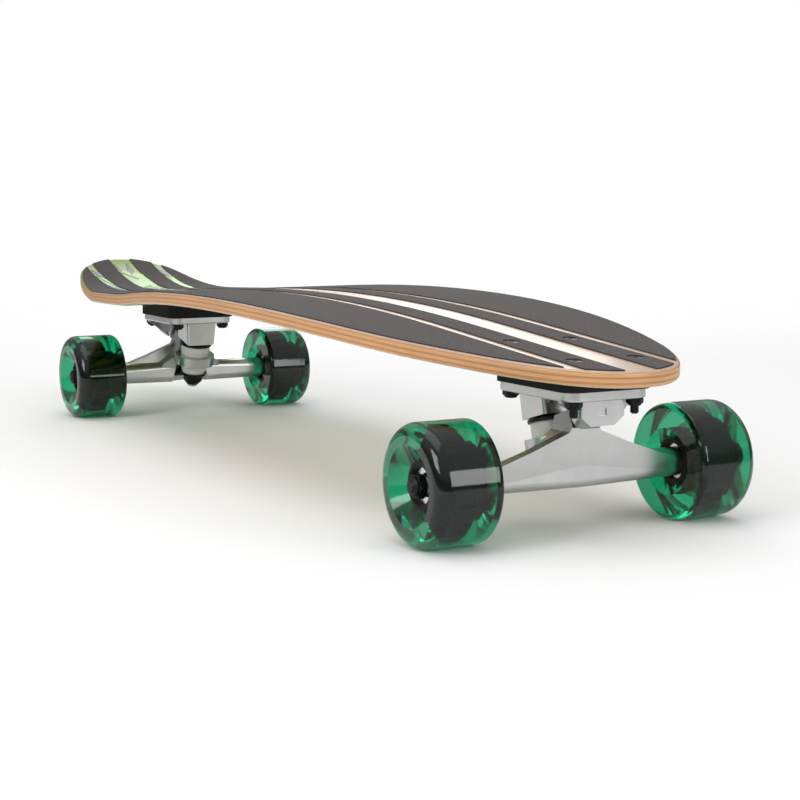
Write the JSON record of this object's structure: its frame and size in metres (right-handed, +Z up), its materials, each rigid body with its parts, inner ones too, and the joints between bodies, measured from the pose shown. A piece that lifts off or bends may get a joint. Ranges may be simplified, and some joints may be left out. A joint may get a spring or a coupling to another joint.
{
  "type": "kicktail longboard skateboard",
  "caption": "Cambered kicktail longboard with bamboo-print laminate deck, striped grip, cast kingpin trucks and translucent green wheels.",
  "frame": {"origin": "on the ground, midway along the deck's length and on its centre line", "axes": "+X towards the nose, +Y to the rider's left, +Z up"},
  "size_m": [0.845, 0.216, 0.1279],
  "materials": {
    "printed_bamboo": "clear-coated bamboo veneer with a printed bamboo-grove pattern",
    "bamboo_top": "clear-coated bamboo veneer, printed in the bare stripes near the tail",
    "maple_plies": "sanded and sealed laminate edge",
    "grip_tape": "charcoal abrasive grit",
    "black_steel": "black oxide",
    "zinc_steel": "zinc plated",
    "riser_rubber": "matt black moulded rubber",
    "cast_aluminium": "satin polished casting",
    "black_plastic": "black urethane cup",
    "bushing_urethane": "pale grey urethane",
    "bearing_steel": "polished bearing steel",
    "green_urethane": "translucent emerald cast urethane",
    "core_plastic": "black moulded nylon hub"
  },
  "bodies": {
    "deck": {"deck_bottom_veneer": "printed_bamboo", "deck_core_plies": "maple_plies", "deck_top_veneer": "bamboo_top", "grip_inner_left": "grip_tape", "grip_inner_right": "grip_tape", "grip_outer_left": "grip_tape", "grip_outer_right": "grip_tape", "front_mounting_bolts": "black_steel", "front_mounting_nuts": "black_steel", "front_riser": "riser_rubber", "front_baseplate": "cast_aluminium", "front_kingpin": "zinc_steel", "front_kingpin_nut": "black_steel", "front_pivot_cup": "black_plastic", "front_boardside_bushing": "bushing_urethane", "front_roadside_bushing": "bushing_urethane", "front_boardside_washer": "black_steel", "front_roadside_washer": "black_steel", "rear_mounting_bolts": "black_steel", "rear_mounting_nuts": "black_steel", "rear_riser": "riser_rubber", "rear_baseplate": "cast_aluminium", "rear_kingpin": "zinc_steel", "rear_kingpin_nut": "black_steel", "rear_pivot_cup": "black_plastic", "rear_boardside_bushing": "bushing_urethane", "rear_roadside_bushing": "bushing_urethane", "rear_boardside_washer": "black_steel", "rear_roadside_washer": "black_steel"},
    "front_hanger": {"front_hanger": "cast_aluminium", "front_axle": "zinc_steel", "front_axle_nuts": "black_steel", "front_speed_washers": "zinc_steel", "front_bearing_spacers": "zinc_steel", "front_inner_races": "bearing_steel"},
    "rear_hanger": {"rear_hanger": "cast_aluminium", "rear_axle": "zinc_steel", "rear_axle_nuts": "black_steel", "rear_speed_washers": "zinc_steel", "rear_bearing_spacers": "zinc_steel", "rear_inner_races": "bearing_steel"},
    "front_left_wheel": {"front_left_tyre": "green_urethane", "front_left_core": "core_plastic", "front_left_outer_races": "bearing_steel"},
    "front_left_balls": {"front_left_ball_sets": "bearing_steel"},
    "front_right_wheel": {"front_right_tyre": "green_urethane", "front_right_core": "core_plastic", "front_right_outer_races": "bearing_steel"},
    "front_right_balls": {"front_right_ball_sets": "bearing_steel"},
    "rear_left_wheel": {"rear_left_tyre": "green_urethane", "rear_left_core": "core_plastic", "rear_left_outer_races": "bearing_steel"},
    "rear_left_balls": {"rear_left_ball_sets": "bearing_steel"},
    "rear_right_wheel": {"rear_right_tyre": "green_urethane", "rear_right_core": "core_plastic", "rear_right_outer_races": "bearing_steel"},
    "rear_right_balls": {"rear_right_ball_sets": "bearing_steel"}
  },
  "joints": [
    {"name": "front_steer", "type": "hinge", "parent": "deck", "child": "front_hanger", "pos_m": [0.3375, 0, 0.048], "axis": [0.8121, 0, 0.5835], "range_deg": [-20, 20], "stiffness_Nm_per_rad": 60, "deforming": ["front_boardside_bushing", "front_roadside_bushing"]},
    {"name": "rear_steer", "type": "hinge", "parent": "deck", "child": "rear_hanger", "pos_m": [-0.2245, 0, 0.048], "axis": [-0.8121, 0, 0.5835], "range_deg": [-20, 20], "stiffness_Nm_per_rad": 60, "deforming": ["rear_boardside_bushing", "rear_roadside_bushing"]},
    {"name": "front_left_spin", "type": "hinge", "parent": "front_hanger", "child": "front_left_wheel", "pos_m": [0.3565, 0.086, 0.035], "axis": [0, 1, 0], "continuous": true},
    {"name": "front_left_ball_orbit", "type": "hinge", "parent": "front_hanger", "child": "front_left_balls", "pos_m": [0.3565, 0.086, 0.035], "axis": [0, 1, 0], "continuous": true},
    {"name": "front_right_spin", "type": "hinge", "parent": "front_hanger", "child": "front_right_wheel", "pos_m": [0.3565, -0.086, 0.035], "axis": [0, 1, 0], "continuous": true},
    {"name": "front_right_ball_orbit", "type": "hinge", "parent": "front_hanger", "child": "front_right_balls", "pos_m": [0.3565, -0.086, 0.035], "axis": [0, 1, 0], "continuous": true},
    {"name": "rear_left_spin", "type": "hinge", "parent": "rear_hanger", "child": "rear_left_wheel", "pos_m": [-0.2435, 0.086, 0.035], "axis": [0, 1, 0], "continuous": true},
    {"name": "rear_left_ball_orbit", "type": "hinge", "parent": "rear_hanger", "child": "rear_left_balls", "pos_m": [-0.2435, 0.086, 0.035], "axis": [0, 1, 0], "continuous": true},
    {"name": "rear_right_spin", "type": "hinge", "parent": "rear_hanger", "child": "rear_right_wheel", "pos_m": [-0.2435, -0.086, 0.035], "axis": [0, 1, 0], "continuous": true},
    {"name": "rear_right_ball_orbit", "type": "hinge", "parent": "rear_hanger", "child": "rear_right_balls", "pos_m": [-0.2435, -0.086, 0.035], "axis": [0, 1, 0], "continuous": true}
  ],
  "couplings": [
    {"joint": "front_left_ball_orbit", "follows": "front_left_spin", "ratio": 0.6323},
    {"joint": "front_right_ball_orbit", "follows": "front_right_spin", "ratio": 0.6323},
    {"joint": "rear_left_ball_orbit", "follows": "rear_left_spin", "ratio": 0.6323},
    {"joint": "rear_right_ball_orbit", "follows": "rear_right_spin", "ratio": 0.6323}
  ]
}
